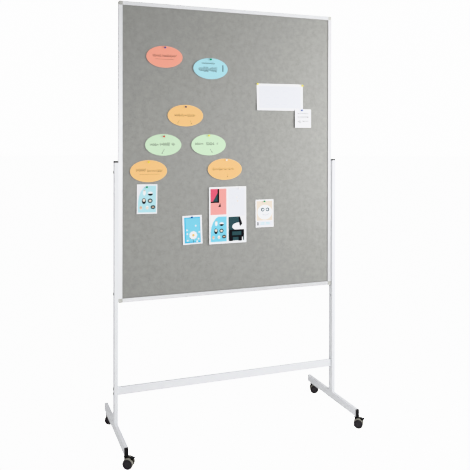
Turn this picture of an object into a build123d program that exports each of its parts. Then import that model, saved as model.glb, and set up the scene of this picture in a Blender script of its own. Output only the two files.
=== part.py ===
from build123d import *
import os
from math import cos, radians, sin

os.makedirs("parts", exist_ok=True)

# Rolling board on a castor stand, in millimetres. The origin is on the floor, midway between the posts.
# +X runs along the board, +Y from the felt side to the writing side, +Z up.

# ---- Driving dimensions ----
# Board
board_width = 1199.0
board_height = 1500.0
board_bottom = 695.0
rail_face = 22.0
rail_depth = 20.0
rail_corner = 1.2
panel_thickness = 12.0
groove_depth = 10.0
slot_web = 1.5
slot_lip = 2.0
slot_width = 15.0
slot_mouth = 8.8
felt_thickness = 2.5
sheet_thickness = 0.5
panel_play = 0.5
corner_radius = 8.0
corner_round = 0.8
side_tongue = 14.0
flat_tongue = 26.0
tongue_play = 0.25

# Stand
post_inner = 600.0
post_width = 20.0
post_depth = 40.0
post_top = 1391.0
tube_wall = 1.5
tube_corner = 2.0
cap_height = 10.0
cap_spigot = 14.0
cap_round = 1.5
foot_bottom = 59.0
foot_height = 40.0
foot_half = 262.0
plug_flange = 3.0
plug_spigot = 6.0
plug_round = 1.0
spigot_play = 0.2
spigot_wall = 2.0
crossbar_bottom = 239.0
crossbar_height = 40.0
crossbar_depth = 20.0
insert_length = 32.0

# Fasteners
bolt_radius = 4.0
bolt_hole_radius = 4.5
thread_play = 0.05
bolt_head_radius = 8.0
bolt_head_height = 5.2
bolt_head_rim = 0.9
hex_key = 5.0
hex_depth = 2.6
bolt_chamfer = 1.0
board_bolt_heights = (741.0, 1344.0)
spare_hole_drop = 105.0
board_bolt_length = 28.0
crossbar_bolt_spread = 24.0
crossbar_bolt_length = 45.0
foot_bolt_spread = 20.0
foot_bolt_length = 64.0
nut_width = 14.0
nut_length = 16.0
nut_thickness = 4.5
nut_gap = 0.4

# Castors
castor_front_inset = 14.0
castor_rear_inset = 28.0
wheel_radius = 25.0
tyre_thickness = 2.2
tyre_shoulder = 1.0
tyre_gap = 0.02
tyre_inset = 0.4
wheel_inner = 7.2
wheel_outer = 21.5
hub_dish = 0.3
hub_dish_radius = 15.0
hub_groove = 1.4
hub_groove_inner = 15.6
hub_groove_outer = 17.0
hub_rim_inner = 17.6
hub_rim_chamfer = 0.6
hub_wall = 2.5
hub_web = 4.0
hub_boss_radius = 6.5
trail = 14.0
web_half = 6.2
hood_top = 54.5
housing_radius = 9.0
housing_bottom = 51.2
stem_radius = 4.0
stem_groove_radius = 3.3
stem_groove_start = 3.0
stem_groove_end = 4.5
stem_chamfer = 0.8
stem_thread_chamfer = 1.0
stem_end_play = 0.5
stem_bottom = 38.0
stem_thread_radius = 5.0
stem_thread_top = 77.0
collar_flats = 13.0
collar_bottom = 55.0
axle_radius = 3.0
axle_half = 18.5
axle_chamfer = 0.5
axle_press = 0.02
axle_boss_radius = 7.5
axle_end_play = 0.3
running_play = 0.05
socket_radius = 7.0
socket_flange_radius = 8.5
socket_flange = 1.5
socket_length = 16.0
pivot_radius = 2.0
pivot_ear = 4.8
pivot_trail = 26.0
pivot_height = 41.5
tongue_half = 2.2
tongue_slot_half = 2.6
pedal_half = 11.0
shoe_half = 14.0

# Pinned cards and sheets
card_thickness = 0.4
oval_width = 190.0
oval_height = 110.0
pin_radius = 4.5
pin_head = 8.0
pin_stand_off = 1.0
pin_needle_radius = 0.6
pin_needle = 10.0
memo_gap = 0.1

# ---- Derived sizes ----
post_x = post_inner + post_width / 2
post_outer = post_inner + post_width
foot_top = foot_bottom + foot_height
crossbar_z = crossbar_bottom + crossbar_height / 2
board_side = board_width / 2
board_z = board_bottom + board_height / 2
felt_face = panel_thickness / 2
panel_edge = rail_face - groove_depth + panel_play
panel_notch = rail_face + panel_play
chamber_depth = rail_face - groove_depth - slot_web - slot_lip
stem_y = {-1: castor_front_inset - foot_half, 1: foot_half - castor_rear_inset}
hub_radius = wheel_radius - tyre_thickness
tyre_width = wheel_outer - wheel_inner - 2 * tyre_inset
pivot_boss_radius = pivot_ear - 1.0
slot_side = 4 * pivot_ear
socket_bottom = foot_bottom - socket_flange


def save(piece, node):
    """Labels a finished piece and writes it to its own file."""
    piece.part.label = node
    export_step(piece.part, f"parts/{node}.step")


def tube_section(across, along):
    """The walls of a rounded rectangular tube, drawn in the open sketch."""
    RectangleRounded(across, along, tube_corner)
    inside = (across - 2 * tube_wall, along - 2 * tube_wall)
    RectangleRounded(*inside, tube_corner - tube_wall, mode=Mode.SUBTRACT)


def end_plug(plane, across, along, flange, spigot):
    """A tube's end cap with a hollow spigot. The plane is the tube's end and its normal points outwards."""
    outer = (across - 2 * tube_wall - 2 * spigot_play, along - 2 * tube_wall - 2 * spigot_play)
    inner = (outer[0] - 2 * spigot_wall, outer[1] - 2 * spigot_wall)
    with BuildSketch(plane) as rim:
        RectangleRounded(across, along, tube_corner)
    extrude(rim.sketch, amount=flange)
    with BuildSketch(plane) as walls:
        Rectangle(*outer)
        Rectangle(*inner, mode=Mode.SUBTRACT)
    extrude(walls.sketch, amount=-spigot)


def button_bolt(plane, length):
    """A button-head bolt. The plane is the face under its head, and its normal points out of the head."""
    profile = Plane(plane.origin, x_dir=plane.x_dir, z_dir=plane.x_dir.cross(plane.z_dir))
    with BuildSketch(profile) as half:
        with BuildLine():
            TangentArc((0, bolt_head_height), (bolt_head_radius, bolt_head_rim), tangent=(1, 0))
            Polyline(
                (bolt_head_radius, bolt_head_rim),
                (bolt_head_radius, 0),
                (bolt_radius, 0),
                (bolt_radius, bolt_chamfer - length),
                (bolt_radius - bolt_chamfer, -length),
                (0, -length),
                (0, bolt_head_height),
            )
        make_face()
    revolve(half.sketch, axis=Axis(plane.origin, plane.z_dir))
    with BuildSketch(plane.offset(bolt_head_height - hex_depth)) as key:
        RegularPolygon(hex_key / 2, 6, major_radius=False)
    extrude(key.sketch, amount=2 * hex_depth, mode=Mode.SUBTRACT)


def threaded_block(plane, across, along, spread):
    """A block that fills a tube's end, with two threaded holes in line. The plane is the tube's end."""
    block = (across - 2 * tube_wall - 2 * spigot_play, along - 2 * tube_wall - 2 * spigot_play)
    with BuildSketch(plane) as section:
        Rectangle(*block)
        with GridLocations(0, spread, 1, 2):
            Circle(bolt_radius + thread_play, mode=Mode.SUBTRACT)
    extrude(section.sketch, amount=-insert_length)


# ---- Posts, with their bolt holes, the spare holes below them and the crossbar's holes ----
hole_heights = [z - drop for z in board_bolt_heights for drop in (0, spare_hole_drop)]
hole_heights += [crossbar_z - crossbar_bolt_spread / 2, crossbar_z + crossbar_bolt_spread / 2]
for side, name in ((-1, "post_left"), (1, "post_right")):
    with BuildPart() as post:
        with BuildSketch(Plane((side * post_x, 0, foot_top))):
            tube_section(post_width, post_depth)
        extrude(amount=post_top - foot_top)
        with BuildSketch(Plane.YZ.offset(side * post_x)):
            with Locations(*[(0, z) for z in hole_heights]):
                Circle(bolt_hole_radius)
        extrude(amount=post_width, both=True, mode=Mode.SUBTRACT)
    save(post, name)

with BuildPart() as post_caps:
    for side in (-1, 1):
        end_plug(Plane((side * post_x, 0, post_top)), post_width, post_depth, cap_height, cap_spigot)
    fillet(faces().group_by(Axis.Z)[-1].edges(), cap_round)
save(post_caps, "post_caps")

# ---- Feet, with the holes for the castor sockets and the post bolts ----
foot_z = foot_bottom + foot_height / 2
for side, name in ((-1, "foot_left"), (1, "foot_right")):
    with BuildPart() as foot:
        with BuildSketch(Plane((side * post_x, -foot_half, foot_z), x_dir=(1, 0, 0), z_dir=(0, 1, 0))):
            tube_section(post_width, foot_height)
        extrude(amount=2 * foot_half)
        with BuildSketch(Plane((side * post_x, 0, foot_bottom))):
            with Locations((0, stem_y[-1]), (0, stem_y[1])):
                Circle(socket_radius + thread_play)
        extrude(amount=2 * tube_wall, mode=Mode.SUBTRACT)
        with BuildSketch(Plane((side * post_x, 0, foot_bottom))):
            with GridLocations(0, foot_bolt_spread, 1, 2):
                Circle(bolt_hole_radius)
        extrude(amount=foot_height, mode=Mode.SUBTRACT)
    save(foot, name)

with BuildPart() as foot_end_plugs:
    for side in (-1, 1):
        for end in (-1, 1):
            plug_end = Plane((side * post_x, end * foot_half, foot_z), x_dir=(1, 0, 0), z_dir=(0, end, 0))
            end_plug(plug_end, post_width, foot_height, plug_flange, plug_spigot)
    fillet(faces().group_by(Axis.Y)[-1].edges(), plug_round)
    fillet(faces().group_by(Axis.Y)[0].edges(), plug_round)
save(foot_end_plugs, "foot_end_plugs")

# ---- Crossbar between the posts ----
with BuildPart() as crossbar:
    with BuildSketch(Plane((-post_inner, 0, crossbar_z), x_dir=(0, 1, 0), z_dir=(1, 0, 0))):
        tube_section(crossbar_depth, crossbar_height)
    extrude(amount=2 * post_inner)
save(crossbar, "crossbar")

with BuildPart() as crossbar_inserts:
    for side in (-1, 1):
        bar_end = Plane((side * post_inner, 0, crossbar_z), x_dir=(0, 1, 0), z_dir=(side, 0, 0))
        threaded_block(bar_end, crossbar_depth, crossbar_height, crossbar_bolt_spread)
save(crossbar_inserts, "crossbar_inserts")

with BuildPart() as post_inserts:
    for side in (-1, 1):
        post_end = Plane((side * post_x, 0, foot_top), z_dir=(0, 0, -1))
        threaded_block(post_end, post_width, post_depth, foot_bolt_spread)
save(post_inserts, "post_inserts")

# ---- Bolts and nuts ----
with BuildPart() as crossbar_bolts:
    for side in (-1, 1):
        for up in (-1, 1):
            z = crossbar_z + up * crossbar_bolt_spread / 2
            seat = Plane((side * post_outer, 0, z), x_dir=(0, 1, 0), z_dir=(side, 0, 0))
            button_bolt(seat, crossbar_bolt_length)
save(crossbar_bolts, "crossbar_bolts")

with BuildPart() as foot_bolts:
    for side in (-1, 1):
        for end in (-1, 1):
            y = end * foot_bolt_spread / 2
            seat = Plane((side * post_x, y, foot_bottom), x_dir=(1, 0, 0), z_dir=(0, 0, -1))
            button_bolt(seat, foot_bolt_length)
save(foot_bolts, "foot_bolts")

with BuildPart() as board_bolts:
    for side in (-1, 1):
        for z in board_bolt_heights:
            seat = Plane((side * post_outer, 0, z), x_dir=(0, 1, 0), z_dir=(side, 0, 0))
            button_bolt(seat, board_bolt_length)
save(board_bolts, "board_bolts")

# Nuts in the side rails' slots: the bolts clamp them against the slot's lips from inside.
nut_face = board_side - slot_lip - nut_gap
with BuildPart() as slot_nuts:
    for side in (-1, 1):
        with BuildSketch(Plane((side * nut_face, 0, 0), x_dir=(0, side, 0), z_dir=(side, 0, 0))):
            with Locations(*[(0, z) for z in board_bolt_heights]):
                Rectangle(nut_width, nut_length)
                Circle(bolt_radius + thread_play, mode=Mode.SUBTRACT)
        extrude(amount=-nut_thickness)
save(slot_nuts, "slot_nuts")

with BuildPart() as castor_sockets:
    socket_places = [(sx * post_x, stem_y[sy]) for sx in (-1, 1) for sy in (-1, 1)]
    with BuildSketch(Plane.XY.offset(socket_bottom)):
        with Locations(*socket_places):
            Circle(socket_flange_radius)
    extrude(amount=socket_flange)
    with BuildSketch(Plane.XY.offset(foot_bottom)):
        with Locations(*socket_places):
            Circle(socket_radius)
    extrude(amount=socket_length)
    with BuildSketch(Plane.XY.offset(socket_bottom)):
        with Locations(*socket_places):
            Circle(stem_thread_radius + thread_play)
    extrude(amount=socket_flange + socket_length, mode=Mode.SUBTRACT)
save(castor_sockets, "castor_sockets")


# ---- Board frame: one rail section, cut to length on four sides ----
def rail_section():
    """The rail's section: x is 0 at its outer face, y runs through the board's thickness."""
    with Locations((-rail_face / 2, 0)):
        RectangleRounded(rail_face, rail_depth, rail_corner)
    with Locations((-rail_face + groove_depth / 2, 0)):
        Rectangle(groove_depth, panel_thickness, mode=Mode.SUBTRACT)
    with Locations((-slot_lip - chamber_depth / 2, 0)):
        Rectangle(chamber_depth, slot_width, mode=Mode.SUBTRACT)
    with Locations((-slot_lip / 2, 0)):
        Rectangle(slot_lip, slot_mouth, mode=Mode.SUBTRACT)


side_rail_length = board_height - 2 * rail_face
flat_rail_length = board_width - 2 * rail_face
for side, name in ((-1, "rail_left"), (1, "rail_right")):
    rail_start = (side * board_side, 0, board_bottom + rail_face)
    with BuildPart() as side_rail:
        with BuildSketch(Plane(rail_start, x_dir=(side, 0, 0), z_dir=(0, 0, 1))):
            rail_section()
        extrude(amount=side_rail_length)
    save(side_rail, name)
for up, name in ((-1, "rail_bottom"), (1, "rail_top")):
    rail_start = (rail_face - board_side, 0, board_z + up * board_height / 2)
    with BuildPart() as flat_rail:
        with BuildSketch(Plane(rail_start, x_dir=(0, 0, up), z_dir=(1, 0, 0))):
            rail_section()
        extrude(amount=flat_rail_length)
    save(flat_rail, name)

# Corner pieces: a rounded block that ends both rails, with a tongue in the slot of each.
tongue_height = chamber_depth - 2 * tongue_play
tongue_inset = slot_lip + tongue_play
corner_align = (Align.MIN, Align.MIN)
with BuildPart() as frame_corners:
    for side in (-1, 1):
        for up in (-1, 1):
            tip = (side * board_side, 0, board_z + up * board_height / 2)
            corner = Plane(tip, x_dir=(-side, 0, 0), z_dir=(0, -side * up, 0))
            with BuildSketch(corner):
                Rectangle(rail_face, rail_face, align=corner_align)
                fillet(vertices().group_by(Axis.X)[0].sort_by(Axis.Y)[0], corner_radius)
            extrude(amount=rail_depth / 2, both=True)
            with BuildSketch(corner):
                with Locations((rail_face, tongue_inset)):
                    Rectangle(flat_tongue, tongue_height, align=corner_align)
                with Locations((tongue_inset, rail_face)):
                    Rectangle(tongue_height, side_tongue, align=corner_align)
            extrude(amount=slot_width / 2 - tongue_play, both=True)
    fillet(faces().group_by(Axis.Y)[0].edges(), corner_round)
    fillet(faces().group_by(Axis.Y)[-1].edges(), corner_round)
save(frame_corners, "frame_corners")


# ---- Panel: felt in front, soft fibre board, steel writing sheet behind ----
def panel_outline():
    """The panel's outline, notched at its corners to clear the corner pieces."""
    with Locations((0, board_z)):
        Rectangle(board_width - 2 * panel_edge, board_height - 2 * panel_notch)
        Rectangle(board_width - 2 * panel_notch, board_height - 2 * panel_edge)


core_thickness = panel_thickness - felt_thickness - sheet_thickness
core_front = felt_face - felt_thickness
core_back = core_front - core_thickness
with BuildPart() as felt_panel:
    with BuildSketch(Plane.XZ.offset(core_front)):
        panel_outline()
    extrude(amount=felt_thickness)
save(felt_panel, "felt_panel")

with BuildPart() as board_core:
    with BuildSketch(Plane.XZ.offset(core_back)):
        panel_outline()
    extrude(amount=core_thickness)
save(board_core, "board_core")

with BuildPart() as writing_sheet:
    with BuildSketch(Plane.XZ.offset(core_back)):
        panel_outline()
    extrude(amount=-sheet_thickness)
save(writing_sheet, "writing_sheet")

# ---- Cards and sheets on the felt: places are (x, height above the board's bottom edge) ----
oval_cards = {
    "oval_card_coral": [(-363, 1230)],
    "oval_card_blue": [(-116, 1180)],
    "oval_cards_orange": [(-252, 934), (-445, 652), (-36, 656)],
    "oval_cards_green": [(-369, 784), (-126, 784)],
}
for node, places in oval_cards.items():
    with BuildPart() as cards:
        with BuildSketch(Plane.XZ.offset(felt_face)):
            with Locations(*[(x, board_bottom + up) for x, up in places]):
                Ellipse(oval_width / 2, oval_height / 2)
        extrude(amount=card_thickness)
    save(cards, node)

# Each sheet: x, height, width, height of the sheet, tilt in degrees.
flat_sheets = (
    (283, 1041, 275, 143, 0.4),
    (-453, 512, 105, 148, -0.8),
    (-214, 346, 105, 148, 1.7),
    (-19, 415, 210, 297, 0.2),
    (192, 416, 105, 148, 0.3),
)
memo_sheet = (421, 928, 100, 100, 0.0)
memo_lift = card_thickness + memo_gap
with BuildPart() as paper_sheets:
    for lift, group in ((0, flat_sheets), (memo_lift, (memo_sheet,))):
        with BuildSketch(Plane.XZ.offset(felt_face + lift)):
            for x, up, width, height, tilt in group:
                with Locations((x, board_bottom + up)):
                    Rectangle(width, height, rotation=tilt)
        extrude(amount=card_thickness)
save(paper_sheets, "paper_sheets")

# Push pins: a waisted head that stands just clear of the paper, on a needle driven into the board.
pin_places = (
    (-361, 1277),
    (-116, 1228),
    (-251, 979),
    (-366, 827),
    (-125, 832),
    (-445, 698),
    (-27, 704),
    (149, 1109),
    (416, 1107),
    (414, 973),
    (-454, 572),
    (-218, 411),
    (191, 481),
    (46, 555),
)
# The head's outline, as (radius, distance out): its flat top, brow, widest ring, waist and flared foot.
pin_top = (0.7 * pin_radius, pin_head)
pin_brow = (0.93 * pin_radius, 0.93 * pin_head)
pin_widest = (pin_radius, 0.8 * pin_head)
pin_waist = (0.62 * pin_radius, 0.45 * pin_head)
pin_flare = (0.9 * pin_radius, 0.12 * pin_head)
with BuildPart() as push_pins:
    for x, up in pin_places:
        pin_place = (x, -felt_face - pin_stand_off, board_bottom + up)
        pin_foot = Plane(pin_place, x_dir=(1, 0, 0), z_dir=(0, 0, -1))
        with BuildSketch(pin_foot):
            with BuildLine():
                Polyline((0, 0), (0, pin_head), pin_top)
                ThreePointArc(pin_top, pin_brow, pin_widest)
                ThreePointArc(pin_widest, pin_waist, pin_flare)
                Polyline(pin_flare, (pin_flare[0], 0), (0, 0))
            make_face()
        with BuildSketch(pin_foot):
            Rectangle(pin_needle_radius, pin_needle, align=(Align.MIN, Align.MAX))
        revolve(axis=Axis(pin_foot.origin, (0, -1, 0)))
save(push_pins, "push_pins")

# ---- Castors: (x side, y end, swing of the trail from +X towards -Y in degrees, braked) ----
castors = {
    "front_left": (-1, -1, 30.0, True),
    "front_right": (1, -1, 38.0, True),
    "rear_left": (-1, 1, 20.0, False),
    "rear_right": (1, 1, 22.0, False),
}

# The hood's side outline, as (distance along the trail, height).
hood_outline = (
    (-housing_radius, hood_top),
    (housing_radius, hood_top),
    (21.5, 49.0),
    (28.0, 46.0),
    (31.0, 41.5),
    (28.0, 36.0),
    (21.0, 27.0),
    (14.0, 18.0),
    (7.0, 24.0),
    (-6.5, 36.5),
    (-6.5, housing_bottom),
    (-housing_radius, housing_bottom),
)
# The brake pedal's lever, with its upturned toe, and the shoe under it that meets both tyres.
pedal_lever = (
    (25.0, 52.3),
    (38.0, 49.5),
    (44.0, 51.0),
    (44.5, 48.5),
    (38.5, 46.5),
    (26.0, 49.2),
)
pedal_shoe = ((29.5, 49.0), (30.0, 45.8), (33.0, 43.7), (37.0, 44.6), (37.0, 47.5))
pedal_tongue = ((22.2, 41.5), (25.5, 50.0), (33.0, 47.4), (29.5, 41.5))
pedal_pieces = ((pedal_lever, pedal_half), (pedal_shoe, shoe_half), (pedal_tongue, tongue_half))


def wheel_profile(centre, outward):
    """The plane for a wheel's half section: x is the radius and y runs outwards along the axle."""
    return Plane(centre, x_dir=(0, 0, 1), z_dir=Vector(0, 0, 1).cross(outward))


for place, (side, end, swing, braked) in castors.items():
    along = Vector(cos(radians(swing)), -sin(radians(swing)), 0)
    across = Vector(sin(radians(swing)), cos(radians(swing)), 0)
    pivot = Vector(side * post_x, stem_y[end], 0)
    level = Plane(pivot, x_dir=along, z_dir=(0, 0, 1))
    flank = Plane(pivot, x_dir=along, z_dir=-across)
    wheel_centre = pivot + along * trail + Vector(0, 0, wheel_radius)

    # Stem: a smooth shank that the hood turns on, a hexagon, and the thread in the foot's socket.
    with BuildPart() as stem:
        with BuildSketch(flank):
            with BuildLine():
                Polyline(
                    (0, stem_bottom),
                    (stem_radius - stem_chamfer, stem_bottom),
                    (stem_radius, stem_bottom + stem_chamfer),
                    (stem_radius, stem_bottom + stem_groove_start),
                    (stem_groove_radius, stem_bottom + stem_groove_start),
                    (stem_groove_radius, stem_bottom + stem_groove_end),
                    (stem_radius, stem_bottom + stem_groove_end),
                    (stem_radius, collar_bottom),
                    (stem_thread_radius, collar_bottom),
                    (stem_thread_radius, stem_thread_top - stem_thread_chamfer),
                    (stem_thread_radius - stem_thread_chamfer, stem_thread_top),
                    (0, stem_thread_top),
                    close=True,
                )
            make_face()
        revolve(axis=Axis(pivot, (0, 0, 1)))
        with BuildSketch(level.offset(collar_bottom)):
            RegularPolygon(collar_flats / 2, 6, major_radius=False)
        extrude(amount=socket_bottom - collar_bottom)
    save(stem, f"castor_{place}_stem")

    # Hood: the swivel housing and the web between the wheels, in one moulding.
    with BuildPart() as hood:
        with BuildSketch(flank):
            with BuildLine():
                Polyline(*hood_outline, close=True)
            make_face()
            with Locations((trail, wheel_radius)):
                Circle(axle_boss_radius)
        extrude(amount=web_half, both=True)
        with BuildSketch(level.offset(housing_bottom)):
            Circle(housing_radius)
        extrude(amount=hood_top - housing_bottom)
        with BuildSketch(level.offset(hood_top)):
            Circle(stem_radius + running_play)
        extrude(amount=stem_bottom - stem_end_play - hood_top, mode=Mode.SUBTRACT)
        with BuildSketch(flank):
            with Locations((trail, wheel_radius)):
                Circle(axle_radius + axle_press)
        extrude(amount=2 * web_half, both=True, mode=Mode.SUBTRACT)
        if braked:
            with BuildSketch(flank):
                with Locations((pivot_trail - pivot_ear, pivot_height - pivot_ear)):
                    Rectangle(slot_side, slot_side, align=(Align.MIN, Align.MIN))
            extrude(amount=tongue_slot_half, both=True, mode=Mode.SUBTRACT)
            with BuildSketch(flank):
                with Locations((pivot_trail, pivot_height)):
                    Circle(pivot_radius + running_play)
            extrude(amount=2 * web_half, both=True, mode=Mode.SUBTRACT)
    save(hood, f"castor_{place}_hood")

    with BuildPart() as axle:
        with BuildSketch(Plane(wheel_centre, x_dir=along, z_dir=-across)):
            Circle(axle_radius)
        extrude(amount=axle_half, both=True)
        chamfer(edges().filter_by(GeomType.CIRCLE), axle_chamfer)
    save(axle, f"castor_{place}_axle")

    for letter, outward in (("a", -across), ("b", across)):
        section = wheel_profile(wheel_centre, outward)
        spin = Axis(wheel_centre, outward)
        # Hub: a dished disc with a groove round its face, a rim under the tyre and a blind bore.
        with BuildPart() as hub:
            with BuildSketch(section):
                with BuildLine():
                    Polyline(
                        (0, wheel_outer - hub_dish),
                        (hub_dish_radius, wheel_outer - hub_dish),
                        (hub_groove_inner, wheel_outer - hub_groove),
                        (hub_groove_outer, wheel_outer - hub_groove),
                        (hub_rim_inner, wheel_outer),
                        (hub_radius - hub_rim_chamfer, wheel_outer),
                        (hub_radius, wheel_outer - hub_rim_chamfer),
                        (hub_radius, wheel_inner + tyre_inset),
                        (hub_radius - hub_wall, wheel_inner + tyre_inset),
                        (hub_radius - hub_wall, wheel_outer - hub_web),
                        (hub_boss_radius, wheel_outer - hub_web),
                        (hub_boss_radius, wheel_inner),
                        (axle_radius + running_play, wheel_inner),
                        (axle_radius + running_play, axle_half + axle_end_play),
                        (0, axle_half + axle_end_play),
                        close=True,
                    )
                make_face()
            revolve(axis=spin)
        save(hub, f"castor_{place}_hub_{letter}")

        with BuildPart() as tyre:
            with BuildSketch(section):
                with Locations((hub_radius + tyre_gap, wheel_inner + tyre_inset)):
                    Rectangle(tyre_thickness - tyre_gap, tyre_width, align=(Align.MIN, Align.MIN))
                fillet(vertices().group_by(Axis.X)[-1], tyre_shoulder)
            revolve(axis=spin)
        save(tyre, f"castor_{place}_tyre_{letter}")

    if braked:
        # Pedal: a lever with a shoe under it, and a tongue and pin in the hood's slot.
        with BuildPart() as pedal:
            for outline, half in pedal_pieces:
                with BuildSketch(flank):
                    with BuildLine():
                        Polyline(*outline, close=True)
                    make_face()
                extrude(amount=half, both=True)
            with BuildSketch(flank):
                with Locations((pivot_trail, pivot_height)):
                    Circle(pivot_boss_radius)
            extrude(amount=tongue_half, both=True)
            with BuildSketch(flank):
                with Locations((pivot_trail, pivot_height)):
                    Circle(pivot_radius)
            extrude(amount=web_half, both=True)
        save(pedal, f"castor_{place}_brake_pedal")
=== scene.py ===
import math
import random

import bmesh
import bpy
from mathutils import Matrix, Vector, noise


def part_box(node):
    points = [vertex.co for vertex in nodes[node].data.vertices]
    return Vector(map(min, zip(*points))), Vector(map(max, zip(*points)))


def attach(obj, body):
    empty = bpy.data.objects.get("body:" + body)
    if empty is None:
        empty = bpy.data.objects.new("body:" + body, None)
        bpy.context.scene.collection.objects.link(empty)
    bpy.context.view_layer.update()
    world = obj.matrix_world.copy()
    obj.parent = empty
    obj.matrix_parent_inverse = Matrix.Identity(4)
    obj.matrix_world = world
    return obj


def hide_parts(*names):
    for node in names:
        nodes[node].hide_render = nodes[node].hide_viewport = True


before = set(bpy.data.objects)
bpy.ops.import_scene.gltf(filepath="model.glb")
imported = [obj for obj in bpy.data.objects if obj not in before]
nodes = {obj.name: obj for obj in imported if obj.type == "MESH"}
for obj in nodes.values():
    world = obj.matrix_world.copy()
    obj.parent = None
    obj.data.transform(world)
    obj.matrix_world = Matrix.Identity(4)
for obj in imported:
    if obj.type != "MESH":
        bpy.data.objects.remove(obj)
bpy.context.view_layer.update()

MM = 0.001

# ---- Camera: it stands to the left of the board and looks level, with the view shifted down ----
CAMERA_PLACE = (-1.2007, -3.1028, 1.5037)
CAMERA_TURN = (math.radians(89.70), math.radians(-0.09), math.radians(-19.88))
CAMERA_LENS = 48.29
CAMERA_SHIFT = (0.0389, -0.1949)

# ---- Light: an even sky, and soft boxes as (place, aimed at, width, height, watts) ----
SKY_LIGHT = 0.52
SKY_SHOWN = 5.0
FLOOR_SHOWN = 3.0
LIGHTS = {
    "key_right": ((1.40, -1.10, 1.60), (0.40, 0.0, 1.50), 0.9, 1.3, 32.0),
    "fill_front": ((-0.60, -1.40, 1.20), (-0.20, 0.0, 1.10), 1.2, 1.2, 8.5),
    "side_left": ((-5.20, -0.10, 1.00), (0.0, 0.0, 1.00), 1.6, 2.0, 30.0),
    "strip_top": ((1.20, -3.10, 2.95), (0.0, 0.0, 2.18), 3.0, 0.6, 9.0),
}
# The lights that glossy surfaces mirror, and the one that only they see.
GLOSSY_LIGHTS = ("fill_front", "strip_top")
GLOSSY_ONLY = ("strip_top",)
FLOOR_RADIUS = 60.0
FLOOR_RINGS = (0.03, 0.08, 0.2, 0.45, 1.0)
FLOOR_STEPS = 64
FLOOR_TONES = ((0.93, 0.93, 0.93), (0.90, 0.90, 0.905))

# ---- Colours, as linear red, green and blue ----
WHITE_COAT = (0.80, 0.81, 0.83)
DUST = (0.45, 0.43, 0.40)
DUSTY_HEIGHTS = (0.06, 0.13)
SILVER = (0.86, 0.865, 0.88)
CORNER_GREY = (0.42, 0.42, 0.40)
CAP_GREY = (0.12, 0.12, 0.12)
PLUG_BLACK = (0.012, 0.012, 0.013)
FELT_LIGHT = (0.358, 0.358, 0.342)
FELT_DARK = (0.244, 0.244, 0.233)
FIBRE = (0.30, 0.22, 0.14)
ENAMEL = (0.84, 0.85, 0.85)
ZINC = (0.60, 0.61, 0.60)
CASTOR_BLACK = (0.011, 0.011, 0.012)
HUB_DARK = (0.042, 0.039, 0.042)
TREAD_GREY = (0.34, 0.33, 0.29)
INK = (0.030, 0.026, 0.028)
PAPER_WHITE = (0.84, 0.84, 0.86)
CARD_CORAL = (0.92, 0.40, 0.30)
CARD_BLUE = (0.39, 0.66, 0.73)
CARD_ORANGE = (0.95, 0.60, 0.26)
CARD_GREEN = (0.56, 0.72, 0.53)
PIN_PLASTICS = {
    "blue": (0.004, 0.055, 0.27),
    "navy": (0.012, 0.02, 0.12),
    "green": (0.005, 0.26, 0.10),
    "red": (0.45, 0.03, 0.02),
    "yellow": (0.80, 0.70, 0.06),
    "white": (0.80, 0.80, 0.80),
}
# The pins' colours, from the highest pin on the board to the lowest.
PIN_ORDER = (
    "blue", "green", "yellow", "yellow", "navy", "blue", "yellow",
    "red", "white", "yellow", "green", "white", "green", "blue",
)


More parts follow.
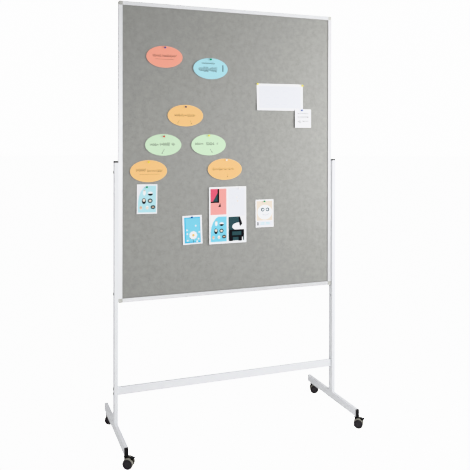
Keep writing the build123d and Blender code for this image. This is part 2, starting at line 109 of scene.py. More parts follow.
# ---- Materials ----
class Finish:
    """A node material being put together: its shader, and shorthands for the nodes that feed it."""

    def __init__(self, name, **sockets):
        self.material = bpy.data.materials.new(name)
        self.material.use_nodes = True
        self.nodes = self.material.node_tree.nodes
        self.links = self.material.node_tree.links
        self.shader = self.nodes["Principled BSDF"]
        self.place = self.nodes.new("ShaderNodeTexCoord").outputs["Object"]
        self.last_normal = None
        for socket, value in sockets.items():
            self.shader.inputs[socket.replace("_", " ")].default_value = value

    def noise(self, scale, detail=3.0, rough=0.6, stretch=(1, 1, 1), twist=0.0):
        """Fractal noise, with scale in cells per metre and a stretch along each axis."""
        mapping = self.nodes.new("ShaderNodeMapping")
        mapping.inputs["Scale"].default_value = stretch
        self.links.new(self.place, mapping.inputs["Vector"])
        node = self.nodes.new("ShaderNodeTexNoise")
        node.inputs["Scale"].default_value = scale
        node.inputs["Detail"].default_value = detail
        node.inputs["Roughness"].default_value = rough
        node.inputs["Distortion"].default_value = twist
        self.links.new(mapping.outputs["Vector"], node.inputs["Vector"])
        return node.outputs["Fac"]

    def spread(self, value, low, high, start=0.3, end=0.7):
        """A value from start to end, mapped onto low to high and held there outside."""
        node = self.nodes.new("ShaderNodeMapRange")
        for socket, number in (("From Min", start), ("From Max", end), ("To Min", low), ("To Max", high)):
            node.inputs[socket].default_value = number
        self.links.new(value, node.inputs["Value"])
        return node.outputs["Result"]

    def maths(self, how, a, b):
        """One arithmetic step between two values, each a node's output or a number."""
        node = self.nodes.new("ShaderNodeMath")
        node.operation = how
        for socket, value in zip(node.inputs, (a, b)):
            if isinstance(value, (int, float)):
                socket.default_value = value
            else:
                self.links.new(value, socket)
        return node.outputs["Value"]

    def height(self):
        """How high a point of the piece lies above the floor, at rest."""
        node = self.nodes.new("ShaderNodeSeparateXYZ")
        self.links.new(self.place, node.inputs["Vector"])
        return node.outputs["Z"]

    def mix(self, share, a, b):
        """A colour between a and b, each a node's output or three numbers."""
        node = self.nodes.new("ShaderNodeMix")
        node.data_type = "RGBA"
        colours = [socket for socket in node.inputs if socket.type == "RGBA"]
        for socket, colour in zip(colours, (a, b)):
            if isinstance(colour, tuple):
                socket.default_value = (*colour, 1.0)
            else:
                self.links.new(colour, socket)
        self.links.new(share, node.inputs["Factor"])
        return next(socket for socket in node.outputs if socket.type == "RGBA")

    def colour(self, value):
        """Feeds the shader's colour."""
        self.links.new(value, self.shader.inputs["Base Color"])

    def roughness(self, value):
        """Feeds the shader's roughness."""
        self.links.new(value, self.shader.inputs["Roughness"])

    def bump(self, value, depth, strength=1.0):
        """Raises the surface by up to depth metres; calls add up."""
        node = self.nodes.new("ShaderNodeBump")
        node.inputs["Distance"].default_value = depth
        node.inputs["Strength"].default_value = strength
        self.links.new(value, node.inputs["Height"])
        if self.last_normal is not None:
            self.links.new(self.last_normal, node.inputs["Normal"])
        self.last_normal = node.outputs["Normal"]
        self.links.new(self.last_normal, self.shader.inputs["Normal"])


def tint(colour, factor):
    """The colour made lighter or darker."""
    return tuple(min(1.0, part * factor) for part in colour)


def powder_coat(name):
    """White powder coating: an orange-peel skin, a little dust low down, a few dull rubs."""
    coat = Finish(name, IOR=1.5, Coat_Weight=0.15, Coat_Roughness=0.3)
    cloud = coat.noise(7.0)
    clean = coat.mix(coat.spread(cloud, 0.0, 1.0), WHITE_COAT, tint(WHITE_COAT, 0.965))
    low_down = coat.spread(coat.height(), 1.0, 0.0, *DUSTY_HEIGHTS)
    specks = coat.spread(coat.noise(420.0, detail=2.0), 0.0, 0.5, 0.58, 0.72)
    dust = coat.maths("MULTIPLY", low_down, specks)
    coat.colour(coat.mix(dust, clean, DUST))
    rubs = coat.noise(26.0, detail=6.0, stretch=(1, 1, 0.25))
    coat.roughness(coat.spread(rubs, 0.34, 0.52))
    coat.bump(coat.noise(620.0, detail=1.5), 0.00012)
    return coat.material


def anodised(name, stretch):
    """Matt silver aluminium with fine drawing lines; stretch squeezes the grain across the rail."""
    metal = Finish(name, Metallic=0.55, IOR=1.5)
    lines = metal.noise(60.0, detail=5.0, rough=0.75, stretch=stretch)
    cloud = metal.noise(5.0)
    metal.colour(metal.mix(metal.spread(lines, 0.0, 1.0), SILVER, tint(SILVER, 0.93)))
    metal.roughness(metal.spread(cloud, 0.40, 0.52))
    metal.bump(lines, 0.00003)
    return metal.material


def moulded(name, colour, gloss, grain=900.0, depth=0.00006):
    """Moulded plastic with a fine eroded grain."""
    plastic = Finish(name, IOR=1.48)
    skin = plastic.noise(grain, detail=2.0)
    flow = plastic.noise(45.0)
    plastic.colour(plastic.mix(plastic.spread(flow, 0.0, 1.0), colour, tint(colour, 1.25)))
    plastic.roughness(plastic.spread(skin, gloss, gloss + 0.14))
    plastic.bump(skin, depth)
    return plastic.material


def needled_felt(name):
    """Grey melange felt: fibres that run every way, soft blotches and a short nap."""
    felt = Finish(name, IOR=1.4, Sheen_Weight=0.22, Sheen_Roughness=0.45)
    level = felt.noise(1300.0, detail=4.0, rough=0.75, stretch=(1, 1, 0.35), twist=1.2)
    upright = felt.noise(1100.0, detail=4.0, rough=0.75, stretch=(0.4, 1, 1), twist=1.4)
    tufts = felt.noise(190.0, detail=3.0, rough=0.7, twist=0.6)
    blotches = felt.noise(42.0, detail=3.0, rough=0.6)
    fibres = felt.maths("ADD", felt.maths("MULTIPLY", level, 0.5), felt.maths("MULTIPLY", upright, 0.5))
    ground = felt.mix(felt.spread(fibres, 0.0, 1.0, 0.36, 0.64), FELT_DARK, FELT_LIGHT)
    tufted = felt.mix(felt.spread(tufts, 0.0, 0.55, 0.42, 0.72), ground, tint(FELT_DARK, 0.92))
    felt.colour(felt.mix(felt.spread(blotches, 0.0, 0.35, 0.35, 0.68), tufted, tint(FELT_LIGHT, 1.08)))
    felt.roughness(felt.spread(fibres, 0.86, 1.0))
    felt.bump(tufts, 0.0005, 0.7)
    felt.bump(fibres, 0.0004, 0.8)
    return felt.material


def fibre_board(name):
    """Soft fibre board, seen only at its edge."""
    board = Finish(name, Roughness=0.95)
    chips = board.noise(300.0, detail=5.0, stretch=(1, 0.3, 1))
    board.colour(board.mix(board.spread(chips, 0.0, 1.0), FIBRE, tint(FIBRE, 0.6)))
    board.bump(chips, 0.0003)
    return board.material


def enamel(name):
    """White writing enamel: glossy and flat, with faint wiping streaks."""
    sheet = Finish(name, IOR=1.55, Coat_Weight=0.6, Coat_Roughness=0.06)
    wipes = sheet.noise(9.0, detail=6.0, rough=0.7, stretch=(0.35, 1, 1.6), twist=0.8)
    smears = sheet.spread(wipes, 0.0, 0.7, 0.5, 0.75)
    sheet.colour(sheet.mix(smears, ENAMEL, tint(ENAMEL, 0.93)))
    sheet.roughness(sheet.spread(wipes, 0.12, 0.26))
    sheet.bump(sheet.noise(160.0, detail=1.0), 0.00002)
    return sheet.material


def plated_steel(name):
    """Zinc-plated steel with a soft crystal bloom."""
    steel = Finish(name, Metallic=1.0)
    bloom = steel.noise(500.0, detail=3.0)
    steel.colour(steel.mix(steel.spread(bloom, 0.0, 1.0), ZINC, tint(ZINC, 0.78)))
    steel.roughness(steel.spread(bloom, 0.26, 0.42))
    steel.bump(bloom, 0.00003)
    return steel.material


def tread_rubber(name):
    """Grey tread: matt, with dust picked up from the floor."""
    rubber = Finish(name, IOR=1.45)
    dust = rubber.noise(240.0, detail=4.0)
    grime = rubber.spread(dust, 0.0, 0.8, 0.45, 0.7)
    rubber.colour(rubber.mix(grime, TREAD_GREY, tint(TREAD_GREY, 0.55)))
    rubber.roughness(rubber.spread(dust, 0.55, 0.8))
    rubber.bump(dust, 0.0001)
    return rubber.material


def paper(name, colour):
    """Card or paper: a fibrous tooth and a faint cloud in its colour."""
    card = Finish(name, IOR=1.45)
    fibres = card.noise(1500.0, detail=3.0, stretch=(1, 1, 0.5), twist=0.5)
    cloud = card.noise(22.0, detail=3.0)
    light = card.mix(card.spread(cloud, 0.0, 1.0), colour, tint(colour, 0.965))
    card.colour(card.mix(card.spread(fibres, 0.0, 0.35, 0.5, 0.75), light, tint(colour, 0.93)))
    card.roughness(card.spread(fibres, 0.72, 0.9))
    card.bump(fibres, 0.00005)
    return card.material


def print_ink(name, colour):
    """A printed or drawn tone, with the paper's tooth showing through it."""
    ink = Finish(name, IOR=1.45)
    tooth = ink.noise(1200.0, detail=3.0)
    ink.colour(ink.mix(ink.spread(tooth, 0.0, 0.5, 0.4, 0.75), colour, tint(colour, 1.2)))
    ink.roughness(ink.spread(tooth, 0.5, 0.75))
    ink.bump(tooth, 0.00003)
    return ink.material


# ---- CAD nodes that keep their shape and take a finish ----
white_steel = powder_coat("white_powder_coat")
upright_grain = anodised("silver_upright", (22, 22, 0.25))
level_grain = anodised("silver_level", (0.25, 22, 22))
black_nylon = moulded("black_nylon", CASTOR_BLACK, 0.36)
hub_plastic = moulded("hub_plastic", HUB_DARK, 0.42, grain=1400.0)
zinc = plated_steel("zinc_plate")
tread = tread_rubber("grey_tread")
finishes = {
    "post_left": white_steel,
    "post_right": white_steel,
    "foot_left": white_steel,
    "foot_right": white_steel,
    "crossbar": white_steel,
    "post_caps": moulded("cap_plastic", CAP_GREY, 0.45),
    "foot_end_plugs": moulded("plug_plastic", PLUG_BLACK, 0.34),
    "frame_corners": moulded("corner_plastic", CORNER_GREY, 0.46),
    "crossbar_inserts": zinc,
    "post_inserts": zinc,
    "crossbar_bolts": zinc,
    "foot_bolts": zinc,
    "board_bolts": zinc,
    "slot_nuts": zinc,
    "castor_sockets": black_nylon,
    "rail_left": upright_grain,
    "rail_right": upright_grain,
    "rail_top": level_grain,
    "rail_bottom": level_grain,
    "board_core": fibre_board("fibre_board"),
    "writing_sheet": enamel("white_enamel"),
}
for name in nodes:
    if name.startswith("castor_") and name not in finishes:
        if "_stem" in name or "_axle" in name:
            finishes[name] = zinc
        elif "_tyre_" in name:
            finishes[name] = tread
        elif "_hub_" in name:
            finishes[name] = hub_plastic
        else:
            finishes[name] = black_nylon
for name, material in finishes.items():
    nodes[name].data.materials.clear()
    nodes[name].data.materials.append(material)


# ---- Places read from the CAD nodes ----
WELD = 0.01 * MM
FRONT_SLACK = 0.05 * MM


def islands(name):
    """The loose parts of a CAD node, each as the list of its points, the highest first."""
    mesh = bmesh.new()
    mesh.from_mesh(nodes[name].data)
    bmesh.ops.remove_doubles(mesh, verts=mesh.verts, dist=WELD)
    parts, waiting = [], set(mesh.verts)
    while waiting:
        part, edge = [], [waiting.pop()]
        while edge:
            point = edge.pop()
            part.append(point.co.copy())
            for line in point.link_edges:
                other = line.other_vert(point)
                if other in waiting:
                    waiting.remove(other)
                    edge.append(other)
        parts.append(part)
    mesh.free()
    return sorted(parts, key=lambda part: (-round(max(point.z for point in part), 4), middle(part).x))


def middle(part):
    """The centre of a part's box."""
    low = Vector([min(point[axis] for point in part) for axis in range(3)])
    high = Vector([max(point[axis] for point in part) for axis in range(3)])
    return (low + high) / 2


def front_rectangle(part):
    """(centre, width, height, tilt) of a flat rectangular part, seen from the front."""
    front = min(point.y for point in part)
    corners = [point for point in part if point.y < front + FRONT_SLACK]
    lowest = sorted(corners, key=lambda point: point.z)[:2]
    left, right = sorted(lowest, key=lambda point: point.x)
    top_left = min((point for point in corners if point not in lowest), key=lambda point: point.x)
    base = right - left
    return middle(corners), base.length, (top_left - left).length, math.atan2(base.z, base.x)


# ---- Flat shapes on a sheet, as points (u, v) in millimetres from its middle, anticlockwise ----
ARC_STEP = 6
PEN_WIDTH = 1.5
PEN_WAVE = 5.5
PEN_STEPS = 7
PEN_SWELL = (0.35, 1.0)
PEN_LEAN = 1.6
PEN_LEAN_LEAD = 1.2
ARROW_BARB = 5.0
ARROW_SPREAD = 0.5


def ellipse(across, up, centre=(0, 0), start=0.0, end=360.0):
    """Points round an ellipse, or round a part of it closed by its chord."""
    whole = end - start >= 360
    count = max(8, round((end - start) / ARC_STEP))
    angles = [math.radians(start + (end - start) * i / count) for i in range(count + (not whole))]
    return [(centre[0] + across / 2 * math.cos(a), centre[1] + up / 2 * math.sin(a)) for a in angles]


def rectangle(left, bottom, right, top):
    """The four corners of a rectangle."""
    return [(left, bottom), (right, bottom), (right, top), (left, top)]


def stroke(points, width=PEN_WIDTH):
    """A drawn line: one four-cornered face for each step along its points."""
    sides = []
    for i, (u, v) in enumerate(points):
        before, after = points[max(i - 1, 0)], points[min(i + 1, len(points) - 1)]
        along = Vector((after[0] - before[0], after[1] - before[1])).normalized() * width / 2
        sides.append(((u - along.y, v + along.x), (u + along.y, v - along.x)))
    return [(a[1], b[1], b[0], a[0]) for a, b in zip(sides, sides[1:])]


def scribble(rng, left, right, base, height, width=PEN_WIDTH):
    """A wavy pen line that stands for a handwritten word."""
    waves = (right - left) / PEN_WAVE
    count = round(waves * PEN_STEPS)
    swell = [rng.uniform(*PEN_SWELL) for _ in range(count + 1)]
    points = []
    for i in range(count + 1):
        turn = 2 * math.pi * waves * i / count
        lean = PEN_LEAN * math.sin(turn + PEN_LEAN_LEAD)
        rise = height / 2 * math.sin(turn) * swell[i - i % PEN_STEPS]
        points.append((left + (right - left) * i / count + lean, base + rise))
    return stroke(points, width)


def arrow(tip, tail):
    """A pen arrow, as its shaft and two barbs."""
    back = (Vector(tail) - Vector(tip)).normalized() * ARROW_BARB
    faces = stroke([tail, tip])
    for turn in (-ARROW_SPREAD, ARROW_SPREAD):
        side = Matrix.Rotation(turn, 2) @ back
        faces += stroke([tip, (tip[0] + side.x, tip[1] + side.y)])
    return faces


def shifted(outline, centre, scale=1.0):
    """A shape made larger or smaller about the sheet's middle, then moved to a new centre."""
    return [(centre[0] + scale * u, centre[1] + scale * v) for u, v in outline]


# ---- Making a piece ----
def piece_from(mesh, name, materials):
    """A new object in the scene with this mesh and these materials."""
    data = bpy.data.meshes.new(name)
    mesh.to_mesh(data)
    mesh.free()
    for material in materials:
        data.materials.append(material)
    piece = bpy.data.objects.new(name, data)
    bpy.context.scene.collection.objects.link(piece)
    return piece


# ---- Sheets of card and paper ----
SHEET_THICKNESS = 0.25
PRINT_GAP = 0.06
SHEET_CELL = 8.0


def one_pin(width, height, pin, left, right, bottom):
    """How far the sheet comes away from the felt: not at its pin, and more towards its edges."""

    def lift(u, v):
        to_left = max(0.0, (pin[0] - u) / (pin[0] + width / 2))
        to_right = max(0.0, (u - pin[0]) / (width / 2 - pin[0]))
        down = max(0.0, (pin[1] - v) / (pin[1] + height / 2))
        return left * to_left**2 + right * to_right**2 + bottom * down**1.5

    return lift


def free_corner(width, height, corner, belly):
    """A sheet held along its top and its right: only its lower left corner comes away."""

    def lift(u, v):
        across, down = (width / 2 - u) / width, (height / 2 - v) / height
        return corner * across * down**1.3 + belly * math.sin(math.pi * across) * math.sin(math.pi * down)

    return lift


def cut_on_grid(mesh, width, height):
    """Cuts every face on one grid, so that prints and sheet bend along the same lines."""
    for axis, size in ((0, width), (2, height)):
        count = max(2, round(size / SHEET_CELL))
        for i in range(1, count):
            place, normal = Vector(), Vector()
            place[axis] = size * (i / count - 0.5)
            normal[axis] = 1.0
            geometry = mesh.verts[:] + mesh.edges[:] + mesh.faces[:]
            bmesh.ops.bisect_plane(mesh, geom=geometry, plane_co=place, plane_no=normal)


def give_back(mesh, sheet_faces):
    """Gives the sheet its thickness: a back and an edge."""
    points = {point for face in sheet_faces for point in face.verts}
    behind = {point: mesh.verts.new(point.co + Vector((0, SHEET_THICKNESS, 0))) for point in points}
    rim = [edge for edge in {line for face in sheet_faces for line in face.edges} if edge.is_boundary]
    for edge in rim:
        a, b = (loop.vert for loop in (edge.link_loops[0], edge.link_loops[0].link_loop_next))
        mesh.faces.new((b, a, behind[a], behind[b]))
    for face in sheet_faces:
        mesh.faces.new([behind[point] for point in reversed(face.verts)])


def make_sheet(name, node, place, outline, prints, lift, ground):
    """One sheet, at place as (centre, width, height, tilt) in metres.

    The outline is a flat shape of the ground material. Each of the prints is a material and its flat
    shapes, one level above the last. The lift bends the sheet with its prints.
    """
    centre, width, height, tilt = place
    mesh = bmesh.new()
    sheet_layer = mesh.faces.layers.int.new("sheet")
    materials = [ground]
    for level, (material, faces) in enumerate([(ground, [outline]), *prints]):
        if material not in materials:
            materials.append(material)
        for points in faces:
            corners = [mesh.verts.new((u, -level * PRINT_GAP, v)) for u, v in points]
            face = mesh.faces.new(corners)
            face.material_index = materials.index(material)
            face[sheet_layer] = level == 0
    bmesh.ops.remove_doubles(mesh, verts=mesh.verts, dist=PRINT_GAP / 4)
    cut_on_grid(mesh, width / MM, height / MM)
    give_back(mesh, [face for face in mesh.faces if face[sheet_layer]])
    bmesh.ops.triangulate(mesh, faces=mesh.faces)
    for point in mesh.verts:
        point.co.y -= lift(point.co.x, point.co.z)
    mesh.transform(Matrix.Translation(centre) @ Matrix.Rotation(-tilt, 4, "Y") @ Matrix.Scale(MM, 4))
    piece = piece_from(mesh, name, materials)
    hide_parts(node)
    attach(piece, "board")


# ---- Oval cards ----
PEN_SEED = 11
ink = print_ink("pen_ink", INK)
bold_ink = print_ink("marker_ink", tint(INK, 0.35))
pen = random.Random(PEN_SEED)


def oval_prints(lines, arrows=(), bar=None):
    """Pen marks on an oval card: lines are (left, right, base, height), and a height of 0 is a rule."""
    marks = []
    for left, right, base, height in lines:
        if height:
            marks += scribble(pen, left, right, base, height)
        else:
            marks += stroke([(left, base), (right, base)])
    for tip, tail in arrows:
        marks += arrow(tip, tail)
    prints = [(ink, marks)]
    if bar is not None:
        prints.append((bold_ink, [rectangle(*bar)]))
    return prints


# Each card: its pen lines, arrows as (tip, tail), bar, pin, and how far it lifts left, right and below.
OVALS = (
    ("card_coral", "oval_card_coral", CARD_CORAL, (
        {
            "lines": ((-62, -18, 6, 20), (-12, 62, 6, 18), (-50, 48, -12, 0)),
            "pin": (1, 47),
            "lifts": (2.2, 1.2, 2.2),
        },
    )),
    ("card_blue", "oval_card_blue", CARD_BLUE, (
        {
            "lines": ((-50, 22, 28, 8), (-66, 34, -4, 30)),
            "bar": (66, -14, 70.5, 20),
            "pin": (0, 48),
            "lifts": (3.6, 1.0, 2.2),
        },
    )),
    ("card_orange", "oval_cards_orange", CARD_ORANGE, (
        {
            "lines": ((-60, 54, 2, 18),),
            "arrows": (((-42, -40), (-32, -22)), ((32, -44), (26, -24))),
            "pin": (1, 45),
            "lifts": (2.4, 1.4, 2.0),
        },
        {
            "lines": ((-72, -10, 2, 18), (-6, 50, 2, 16)),
            "arrows": (((14, -42), (18, -24)),),
            "pin": (9, 48),
            "lifts": (3.0, 1.0, 2.4),
        },
        {
            "lines": ((-66, -14, 6, 20), (-8, 72, 2, 16), (-48, 56, -16, 0)),
            "pin": (0, 46),
            "lifts": (2.0, 1.6, 2.2),
        },
    )),
    ("card_green", "oval_cards_green", CARD_GREEN, (
        {
            "lines": ((-70, -26, 2, 16), (-18, 34, 4, 18), (44, 60, 4, 22)),
            "arrows": (((-8, -44), (6, -20)),),
            "pin": (3, 43),
            "lifts": (2.0, 1.6, 2.4),
        },
        {
            "lines": ((-74, -30, 6, 16), (-14, 30, 6, 18), (44, 52, 6, 20)),
            "arrows": (((20, -40), (8, -22)),),
            "pin": (1, 48),
            "lifts": (2.8, 1.2, 2.0),
        },
    )),
)
for name, node, colour, cards in OVALS:
    stock = paper(name, colour)
    for number, (part, card) in enumerate(zip(islands(node), cards), 1):
        front = min(point.y for point in part)
        centre = middle(part)
        width = max(point.x for point in part) - min(point.x for point in part)
        height = max(point.z for point in part) - min(point.z for point in part)
        place = (Vector((centre.x, front, centre.z)), width, height, 0.0)
        lift = one_pin(width / MM, height / MM, card["pin"], *card["lifts"])
        outline = ellipse(width / MM, height / MM)
        prints = oval_prints(card["lines"], card.get("arrows", ()), card.get("bar"))
        make_sheet(f"{name}_{number}", node, place, outline, prints, lift, stock)


# ---- Printed sheets ----
white_paper = paper("white_paper", PAPER_WHITE)
pale_print = print_ink("pale_print", (0.74, 0.75, 0.79))
line_print = print_ink("line_print", (0.52, 0.53, 0.56))
chart_line = print_ink("chart_line", (0.50, 0.51, 0.58))
chart_box = print_ink("chart_box", (0.76, 0.77, 0.81))
teal_print = print_ink("teal_print", (0.42, 0.67, 0.73))
sky_print = print_ink("sky_print", (0.20, 0.57, 0.72))
azure_print = print_ink("azure_print", (0.06, 0.42, 0.64))
rose_print = print_ink("rose_print", (0.64, 0.10, 0.16))
blush_print = print_ink("blush_print", (0.86, 0.38, 0.36))
peach_print = print_ink("peach_print", (0.88, 0.38, 0.35))
sand_print = print_ink("sand_print", (0.70, 0.62, 0.54))
tan_print = print_ink("tan_print", (0.62, 0.42, 0.30))
slate_print = print_ink("slate_print", (0.035, 0.075, 0.085))
dark_print = print_ink("dark_print", (0.010, 0.010, 0.012))
white_print = print_ink("white_print", (0.82, 0.83, 0.85))
sun_print = print_ink("sun_print", (0.72, 0.50, 0.10))


# The panel of pebbles: its field, the hill in front of it, and each pebble's lower and upper tone, as
# (centre u, centre v, width, height, start and end in degrees, material).
PEBBLE_PANEL = rectangle(-46, -67, 46, 67)
PEBBLE_HILL = [(46, -67), (46, 67), (-4, 67), (-20, 55), (-33, 36), (-42, 12), (-46, -14), (-46, -67)]
PEBBLES = (
    (-14, 31, 15, 27, 0, 360, white_print),
    (17, 27, 26, 21, 0, 360, white_print),
    (-16, -10, 21, 30, 0, 360, dark_print),
    (16, -9, 25, 23, 0, 360, slate_print),
    (-31, -44, 14, 19, 0, 360, tan_print),
    (1, -43, 15, 19, 0, 360, sand_print),
    (31, -41, 25, 20, 0, 360, slate_print),
    (-14, 31, 15, 27, 40, 140, tan_print),
    (17, 27, 26, 21, 180, 360, dark_print),
    (-16, -6, 14, 15, 0, 360, sand_print),
    (16, -9, 14, 11, 0, 360, sand_print),
    (-31, -44, 14, 19, 200, 340, sand_print),
    (1, -43, 15, 19, 20, 160, white_print),
    (31, -41, 14, 6, 0, 360, tan_print),
)
POSTER_PANEL = (-52, -72)
POSTER_SCALE = 0.97


def pebbles(centre, scale, ground, arc):
    """A panel of two-tone pebbles under a wide arc, a plain pattern."""
    layers = [(arc, [PEBBLE_PANEL]), (ground, [PEBBLE_HILL])]
    for u, v, across, up, start, end, material in PEBBLES:
        layers.append((material, [ellipse(across, up, (u, v), start, end)]))
    return [(material, [shifted(face, centre, scale) for face in faces]) for material, faces in layers]


def pebble_prints():
    """The pebbles as a postcard."""
    return pebbles((0, 0), 1.0, teal_print, pale_print)


def planning_prints():
    """A pale chart: a panel, a grid of boxes and the lines between them."""
    box_width, box_height, link, rule = 22, 10, 30, 0.8
    boxes = []
    for u in (-112, -60, -8, 44, 86):
        for v in (-44, -8, 28):
            boxes.append(rectangle(u, v, u + box_width, v + box_height))
    links = []
    for u in (-90, -38, 14):
        for v in (-39, -3, 33):
            links += stroke([(u, v), (u + link, v)], rule)
    return [(pale_print, [rectangle(-124, -59, 124, 59)]), (chart_line, links), (chart_box, boxes)]


def memo_prints():
    """Short pen lines in three rows."""
    heavy = 1.8
    marks = scribble(pen, -34, 34, 28, 10)
    marks += scribble(pen, -34, 36, 10, 8) + stroke([(-36, 3), (36, 5)])
    marks += scribble(pen, -34, -12, -17, 18, heavy) + scribble(pen, -4, 34, -14, 10)
    return [(ink, marks)]


def poster_prints():
    """Four plain panels: framed blocks, faint specks, pebbles and dark shapes."""
    frame_bars = [rectangle(-57, 68, -48, 139), rectangle(-97, 66, -48, 73)]
    speck_places = ((24, 104), (30, 90), (22, 62), (38, 56), (60, 100), (66, 84))
    specks = [ellipse(3, 4, place) for place in speck_places]
    warm_specks = [ellipse(6, 9, (56, 72)), ellipse(5, 7, (52, 92)), ellipse(3, 4, (28, 42))]
    fin = [(60, -12), (69, -12), (82, -48), (70, -62), (66, -54)]
    panels = [
        (pale_print, [rectangle(4, -6, 97, 140)]),
        (blush_print, [rectangle(-97, 4, -8, 139)]),
        (peach_print, [rectangle(-48, 62, -8, 139)]),
        (rose_print, [rectangle(-97, 70, -52, 139)]),
        (slate_print, [[(-84, 73), (-57, 73), (-57, 118)]]),
        (dark_print, frame_bars + [[(-54, 44), (-38, 44), (-42, 66)]]),
        (line_print, specks),
        (sand_print, warm_specks),
        (slate_print, [rectangle(4, -140, 70, -10)]),
        (white_print, [ellipse(74, 40, (62, -62)), rectangle(4, -141, 100, -136)]),
        (dark_print, [fin, rectangle(8, -118, 92, -78)]),
        (dark_print, [rectangle(8, -138, 28, -112), rectangle(60, -138, 80, -112)]),
        (slate_print, [rectangle(24, -108, 76, -88), rectangle(86, -136, 92, -112)]),
    ]
    return panels + pebbles(POSTER_PANEL, POSTER_SCALE, sky_print, white_print)


def blossom_prints():
    """A white blossom on a thin stem, with loose white dots, on a blue panel."""
    centre = (4, -28)
    petal_count, petal, reach, dot = 9, 17, 13, 9
    petals = []
    for i in range(petal_count):
        angle = 2 * math.pi * i / petal_count
        place = (centre[0] + reach * math.cos(angle), centre[1] + reach * math.sin(angle))
        petals.append(ellipse(petal, petal, place))
    dot_places = ((19, 20), (-29, 0), (-28, -20), (37, -13), (32, -48), (-27, -54), (24, -61))
    dots = [ellipse(dot, dot, place) for place in dot_places]
    return [
        (azure_print, [rectangle(-43, -67, 43, 65)]),
        (sky_print, [rectangle(-36, -60, 40, 60)]),
        (slate_print, stroke([(2, -42), (3, -55), (4, -66)], 2.6) + [ellipse(30, 30, (-2, -33))]),
        (white_print, petals),
        (white_print, [ellipse(24, 24, centre)] + dots),
        (sun_print, [ellipse(13, 13, centre)]),
        (tan_print, [ellipse(6, 11, (1, -28))]),
    ]


def ring_prints():
    """Two rings, a wedge and a bowl line on a sand panel, with a row of short bars below."""
    rings = [ellipse(21, 21, (-10, 20)), ellipse(21, 21, (18, 20))]
    middles = [ellipse(11, 11, (-9, 20)), ellipse(11, 11, (17, 20))]
    bowl = stroke([(-12, -2), (-4, -8), (6, -10), (16, -8), (24, -2)], 4.5)
    bars = [rectangle(u, v, u + 24, v + 3) for u in (-24, 6) for v in (-52, -59)]
    return [
        (sand_print, [rectangle(-46, -38, 46, 66)]),
        (white_print, [ellipse(86, 78, (2, 6))]),
        (line_print, bowl),
        (slate_print, rings),
        (pale_print, middles + [rectangle(-46, -66, 46, -42)]),
        (teal_print, bars),
        (dark_print, [rectangle(-42, -64, -36, -46)]),
    ]


# Each sheet, the highest first: its prints, its pin if it has one alone, and how far it lifts.
PAPERS = (
    ("planning_sheet", planning_prints, None, (6.0, 1.2)),
    ("memo_note", memo_prints, (-7, 45), (5.0, 0.8, 1.6)),
    ("postcard_pebbles", pebble_prints, (-1, 60), (1.8, 1.2, 1.8)),
    ("poster", poster_prints, (65, 140), (4.2, 0.5, 2.6)),
    ("postcard_rings", ring_prints, (-1, 65), (1.8, 1.6, 1.6)),
    ("postcard_blossom", blossom_prints, (-4, 65), (2.2, 1.4, 2.0)),
)
for (name, prints, pin, lifts), part in zip(PAPERS, islands("paper_sheets")):
    place = front_rectangle(part)
    width, height = place[1] / MM, place[2] / MM
    if pin is None:
        lift = free_corner(width, height, *lifts)
    else:
        lift = one_pin(width, height, pin, *lifts)
    outline = rectangle(-width / 2, -height / 2, width / 2, height / 2)
    make_sheet(name, "paper_sheets", place, outline, prints(), lift, white_paper)


# ---- Push pins: profiles are (radius, distance out of the board) in millimetres ----
PIN_HEAD = (
    (0, 0), (3.5, 0), (3.9, 0.15), (4.05, 0.5), (3.9, 0.9), (3.2, 1.5),
    (2.75, 2.4), (2.65, 3.5), (2.85, 4.5), (3.5, 5.2), (4.2, 5.7), (4.5, 6.3),
    (4.5, 6.9), (4.3, 7.4), (3.8, 7.8), (3.2, 7.95), (2.6, 7.8), (0, 7.75),
)
PIN_NEEDLE = ((0, -9.8), (0.25, -8.6), (0.55, -7.2), (0.55, 0.4), (0, 0.4))
PIN_STAND_OFF = 1.0
PIN_HEAD_STEPS = 28
PIN_NEEDLE_STEPS = 12
PIN_NOD = (-0.05, 0.09)
PIN_SWAY = (-0.07, 0.07)
PIN_SEED = 5


def revolved(mesh, profile, place, turn, material, steps):
    """Turns a profile round the pin's axis; the profile starts and ends on the axis."""
    rings = []
    for radius, out in profile:
        count = steps if radius > 0 else 1
        angles = [2 * math.pi * i / count for i in range(count)]
        points = [Vector((radius * math.cos(a), -out, radius * math.sin(a))) * MM for a in angles]
        rings.append([mesh.verts.new(place + turn @ point) for point in points])
    for inner, outer in zip(rings, rings[1:]):
        for i in range(steps):
            corners = [inner[i % len(inner)], inner[(i + 1) % len(inner)]]
            corners += [outer[(i + 1) % len(outer)], outer[i % len(outer)]]
            face = mesh.faces.new(list(dict.fromkeys(corners)))
            face.material_index = material
            face.smooth = True


def make_pins():
    """All the push pins: coloured heads, each leaning a little, on steel needles."""
    rng = random.Random(PIN_SEED)
    names = list(PIN_PLASTICS)
    materials = []
    for name, colour in PIN_PLASTICS.items():
        materials.append(moulded(f"pin_{name}", colour, 0.16, grain=600.0, depth=0.00002))
    materials.append(zinc)
    board_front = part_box("felt_panel")[0].y
    mesh = bmesh.new()
    for colour, part in zip(PIN_ORDER, islands("push_pins")):
        foot = middle(part)
        foot.y = board_front - PIN_STAND_OFF * MM
        nod = Matrix.Rotation(rng.uniform(*PIN_NOD), 3, "X")
        sway = Matrix.Rotation(rng.uniform(*PIN_SWAY), 3, "Z")
        revolved(mesh, PIN_HEAD, foot, nod @ sway, names.index(colour), PIN_HEAD_STEPS)
        revolved(mesh, PIN_NEEDLE, foot, nod @ sway, len(names), PIN_NEEDLE_STEPS)
    bmesh.ops.recalc_face_normals(mesh, faces=mesh.faces)
    pins = piece_from(mesh, "push_pin_set", materials)
    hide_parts("push_pins")
    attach(pins, "board")


make_pins()


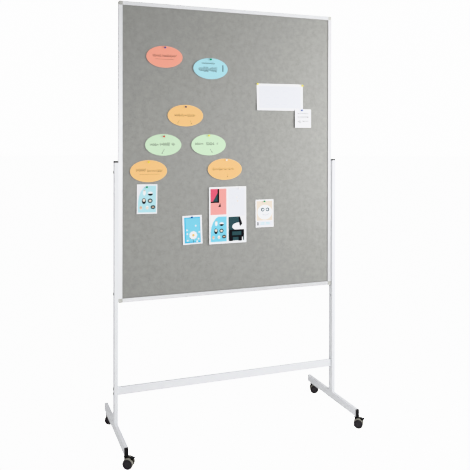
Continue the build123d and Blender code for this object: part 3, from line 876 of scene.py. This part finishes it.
# ---- Felt: stretched over the board, rounded over its edge and tucked into the frame ----
FELT_CELL = 12.0
FELT_ROUND = 4.0
FELT_TUCK = 6.0
FELT_SINK = 1.4
FELT_WAVE = 0.22
FELT_WAVE_LENGTH = 70.0
FELT_LIP_STEPS = (0.6, 1.4, 2.6, FELT_ROUND)


def steps_across(half):
    """Places from -half to half, close together where the felt rounds over at the frame's lip."""
    edge = [half + FELT_TUCK, half, *(half - step for step in FELT_LIP_STEPS)]
    count = 2 * math.ceil((half - FELT_ROUND) / FELT_CELL)
    inner = [(half - FELT_ROUND) * (2 * i / count - 1) for i in range(1, count)]
    return [-value for value in edge] + inner + edge[::-1]


def make_felt():
    """The felt sheet as a closed skin: its front waves a little and sinks at the frame, its back is flat."""
    low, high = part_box("felt_panel")
    left_rail, top_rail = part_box("rail_left"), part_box("rail_top")
    half_u = (high.x - low.x) / 2 / MM
    opening_u = min(half_u, -left_rail[1].x / MM)
    middle_v = (low.z + high.z) / 2 / MM
    opening_v = top_rail[0].z / MM - middle_v
    front, back = low.y / MM, high.y / MM
    columns, rows = steps_across(opening_u), steps_across(opening_v)
    mesh = bmesh.new()
    grids = []
    for face_y in (front, back):
        grid = {}
        for i, u in enumerate(columns):
            for j, v in enumerate(rows):
                to_lip = min(opening_u - abs(u), opening_v - abs(v))
                y = face_y
                if face_y == front:
                    over = min(1.0, max(0.0, 1.0 - to_lip / FELT_ROUND))
                    y += FELT_SINK * (1.0 - math.sqrt(1.0 - over * over))
                    y += FELT_WAVE * (0.5 + 0.5 * noise.noise(Vector((u, 0, v)) / FELT_WAVE_LENGTH))
                grid[i, j] = mesh.verts.new(Vector((u, y, v + middle_v)) * MM)
        grids.append(grid)
    ends = ((0, len(columns) - 2), (0, len(rows) - 2))
    for grid, order in zip(grids, (1, -1)):
        for i in range(len(columns) - 1):
            for j in range(len(rows) - 1):
                if i in ends[0] and j in ends[1]:
                    continue
                corners = [grid[i, j], grid[i + 1, j], grid[i + 1, j + 1], grid[i, j + 1]]
                mesh.faces.new(corners[::order]).smooth = True
    loose = [point for point in mesh.verts if not point.link_faces]
    bmesh.ops.delete(mesh, geom=loose, context="VERTS")
    bmesh.ops.bridge_loops(mesh, edges=[edge for edge in mesh.edges if edge.is_boundary])
    bmesh.ops.recalc_face_normals(mesh, faces=mesh.faces)
    felt = piece_from(mesh, "felt_cover", [needled_felt("grey_felt")])
    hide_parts("felt_panel")
    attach(felt, "board")


make_felt()


# ---- Floor, light and camera ----
def make_floor():
    """A pale floor, as rings that grow outwards; it is shown brighter than it lights, as the sky is."""
    pale = Finish("pale_floor", IOR=1.4, Emission_Color=(1.0, 1.0, 1.0, 1.0))
    seen = pale.nodes.new("ShaderNodeLightPath").outputs["Is Camera Ray"]
    shown = pale.maths("MULTIPLY", seen, FLOOR_SHOWN)
    pale.links.new(shown, pale.shader.inputs["Emission Strength"])
    cloud = pale.noise(1.2, detail=2.0)
    pale.colour(pale.mix(pale.spread(cloud, 0.0, 1.0), *FLOOR_TONES))
    pale.roughness(pale.spread(cloud, 0.75, 0.9))
    mesh = bmesh.new()
    angles = [2 * math.pi * i / FLOOR_STEPS for i in range(FLOOR_STEPS)]
    centre = mesh.verts.new((0, 0, 0))
    rings = []
    for share in FLOOR_RINGS:
        radius = FLOOR_RADIUS * share
        rings.append([mesh.verts.new((radius * math.cos(a), radius * math.sin(a), 0)) for a in angles])
    for i in range(FLOOR_STEPS):
        after = (i + 1) % FLOOR_STEPS
        mesh.faces.new((centre, rings[0][i], rings[0][after]))
        for inner, outer in zip(rings, rings[1:]):
            mesh.faces.new((inner[i], outer[i], outer[after], inner[after]))
    piece_from(mesh, "floor", [pale.material])


def make_world():
    """An even white sky, shown brighter than it lights."""
    world = bpy.data.worlds.new("studio")
    world.use_nodes = True
    tree = world.node_tree
    background = tree.nodes["Background"]
    background.inputs["Color"].default_value = (1.0, 1.0, 1.0, 1.0)
    ray = tree.nodes.new("ShaderNodeLightPath").outputs["Is Camera Ray"]
    level = tree.nodes.new("ShaderNodeMapRange")
    level.inputs["To Min"].default_value = SKY_LIGHT
    level.inputs["To Max"].default_value = SKY_SHOWN
    tree.links.new(ray, level.inputs["Value"])
    tree.links.new(level.outputs["Result"], background.inputs["Strength"])
    bpy.context.scene.world = world


def make_light(name, place, target, width, height, watts):
    """One soft box, which the camera doesn't see."""
    data = bpy.data.lights.new(name, "AREA")
    data.shape = "RECTANGLE"
    data.size, data.size_y, data.energy = width, height, watts
    light = bpy.data.objects.new(name, data)
    light.location = place
    light.rotation_euler = (Vector(target) - Vector(place)).to_track_quat("-Z", "Y").to_euler()
    light.visible_camera = False
    light.visible_glossy = name in GLOSSY_LIGHTS
    light.visible_diffuse = name not in GLOSSY_ONLY
    bpy.context.scene.collection.objects.link(light)


def make_camera():
    """The scene's camera."""
    data = bpy.data.cameras.new("camera")
    data.lens = CAMERA_LENS
    data.shift_x, data.shift_y = CAMERA_SHIFT
    camera = bpy.data.objects.new("camera", data)
    camera.location = CAMERA_PLACE
    camera.rotation_euler = CAMERA_TURN
    bpy.context.scene.collection.objects.link(camera)
    bpy.context.scene.camera = camera


make_floor()
make_world()
for name, facts in LIGHTS.items():
    make_light(name, *facts)
make_camera()
bpy.context.scene.view_settings.view_transform = "Khronos PBR Neutral"
